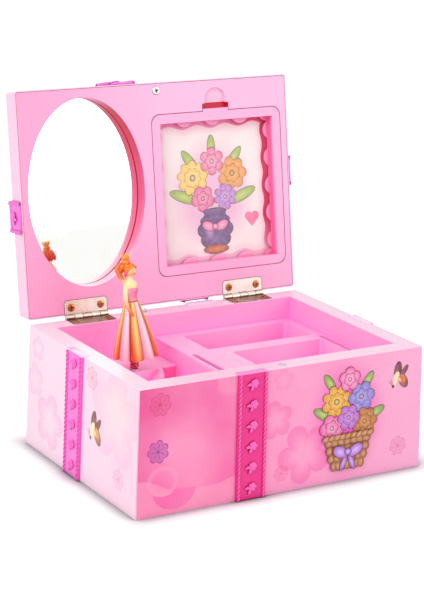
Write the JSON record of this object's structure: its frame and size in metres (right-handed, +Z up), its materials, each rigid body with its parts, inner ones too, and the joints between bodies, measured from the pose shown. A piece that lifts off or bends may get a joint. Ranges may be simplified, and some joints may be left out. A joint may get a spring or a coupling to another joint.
{
  "type": "ballerina jewellery box",
  "caption": "Musical jewellery box with a hinged lid holding an oval mirror and a picture frame, a lift-out tray and a doll on a spring that turns and bows.",
  "frame": {"origin": "middle of the base's underside, on the table", "axes": "+X to the right seen from the front, +Y to the back, +Z up"},
  "size_m": [0.2062, 0.1878, 0.2226],
  "materials": {
    "pale_pink_plastic": "gloss moulding",
    "pink_plastic": "gloss moulding",
    "magenta_plastic": "gloss moulding",
    "plated_steel": "plated",
    "steel": "bright",
    "brass": "machined",
    "nickel_steel": "nickel plated",
    "white_plastic": "moulded",
    "mirror": "silvered",
    "clear_sheet": "clear",
    "card": "printed",
    "gown_paint": "painted",
    "figure_paint": "painted",
    "hair_paint": "painted"
  },
  "bodies": {
    "base": {"case_shell": "pale_pink_plastic", "bottom_plate": "pale_pink_plastic", "bottom_screws": "steel", "stage_insert": "pale_pink_plastic", "catch_magnet": "steel", "ribbon_front": "magenta_plastic", "ribbon_rear": "magenta_plastic", "ribbon_left": "magenta_plastic", "ribbon_right": "magenta_plastic", "hinge_base_leaf_left": "plated_steel", "hinge_base_leaf_right": "plated_steel", "hinge_pins": "steel", "hinge_base_screws": "steel", "movement_plate": "nickel_steel", "movement_screws": "steel", "spring_housing": "nickel_steel", "mainspring": "steel", "sound_comb": "steel", "comb_screws": "steel", "governor_housing": "white_plastic"},
    "lid": {"lid_shell": "pink_plastic", "lid_panel": "pink_plastic", "mirror_bezel": "pink_plastic", "mirror": "mirror", "picture_door": "pink_plastic", "picture_mat": "pink_plastic", "picture_glazing": "clear_sheet", "picture_card": "card", "catch_screw": "steel", "hinge_lid_leaf_left": "plated_steel", "hinge_lid_leaf_right": "plated_steel", "hinge_lid_screws": "steel", "lid_ribbon_long": "magenta_plastic", "lid_ribbon_left": "magenta_plastic", "lid_ribbon_right": "magenta_plastic"},
    "tray": {"jewellery_tray": "pale_pink_plastic"},
    "great_wheel": {"great_wheel": "brass"},
    "cylinder": {"pin_cylinder": "brass", "cylinder_gear": "brass"},
    "governor": {"governor_pinion": "white_plastic"},
    "doll_arbor": {"doll_arbor": "steel"},
    "doll_spring": {"doll_spring": "steel"},
    "ballerina": {"ballerina_gown": "gown_paint", "ballerina_figure": "figure_paint", "ballerina_hair": "hair_paint"},
    "key": {"winding_key": "nickel_steel", "winding_arbor": "steel"},
    "stop_rod": {"stop_rod": "steel"}
  },
  "joints": [
    {"name": "lid_hinge", "type": "hinge", "parent": "base", "child": "lid", "pos_m": [0, 0.0724, 0.0781], "axis": [1, 0, 0], "range_deg": [0, 98.76]},
    {"name": "tray_lift", "type": "slide", "parent": "base", "child": "tray", "axis": [0, 0, 1], "range_m": [0, 0.014]},
    {"name": "great_wheel_turn", "type": "hinge", "parent": "base", "child": "great_wheel", "pos_m": [-0.047, 0.035, 0.024], "axis": [0, 1, 0], "continuous": true},
    {"name": "key_turn", "type": "hinge", "parent": "base", "child": "key", "pos_m": [-0.047, 0.078, 0.024], "axis": [0, 1, 0], "continuous": true},
    {"name": "cylinder_turn", "type": "hinge", "parent": "base", "child": "cylinder", "pos_m": [-0.07, 0.029, 0.024], "axis": [1, 0, 0], "continuous": true},
    {"name": "governor_turn", "type": "hinge", "parent": "base", "child": "governor", "pos_m": [-0.08, 0.03731, 0.0288], "axis": [1, 0, 0], "continuous": true},
    {"name": "doll_arbor_turn", "type": "hinge", "parent": "base", "child": "doll_arbor", "pos_m": [-0.047, 0.029, 0.045], "axis": [0, 0, 1], "continuous": true},
    {"name": "doll_bow", "type": "hinge", "parent": "base", "child": "doll_spring", "pos_m": [-0.047, 0.029, 0.0583], "axis": [1, 0, 0], "range_deg": [0, 88.1]},
    {"name": "doll_spin", "type": "hinge", "parent": "doll_spring", "child": "ballerina", "pos_m": [-0.047, 0.029, 0.0583], "axis": [-0.0747, 0.0449, 0.9962], "continuous": true},
    {"name": "stop_press", "type": "slide", "parent": "base", "child": "stop_rod", "axis": [0, 0, -1], "range_m": [0, 0.00161]}
  ],
  "couplings": [
    {"joint": "cylinder_turn", "follows": "great_wheel_turn", "ratio": 3},
    {"joint": "governor_turn", "follows": "great_wheel_turn", "ratio": -9},
    {"joint": "doll_arbor_turn", "follows": "great_wheel_turn", "ratio": -3},
    {"joint": "doll_spin", "follows": "great_wheel_turn", "ratio": -3},
    {"joint": "doll_bow", "follows": "lid_hinge", "ratio": 0.89105},
    {"joint": "stop_press", "follows": "lid_hinge", "m_per_rad": 0.00092824}
  ]
}
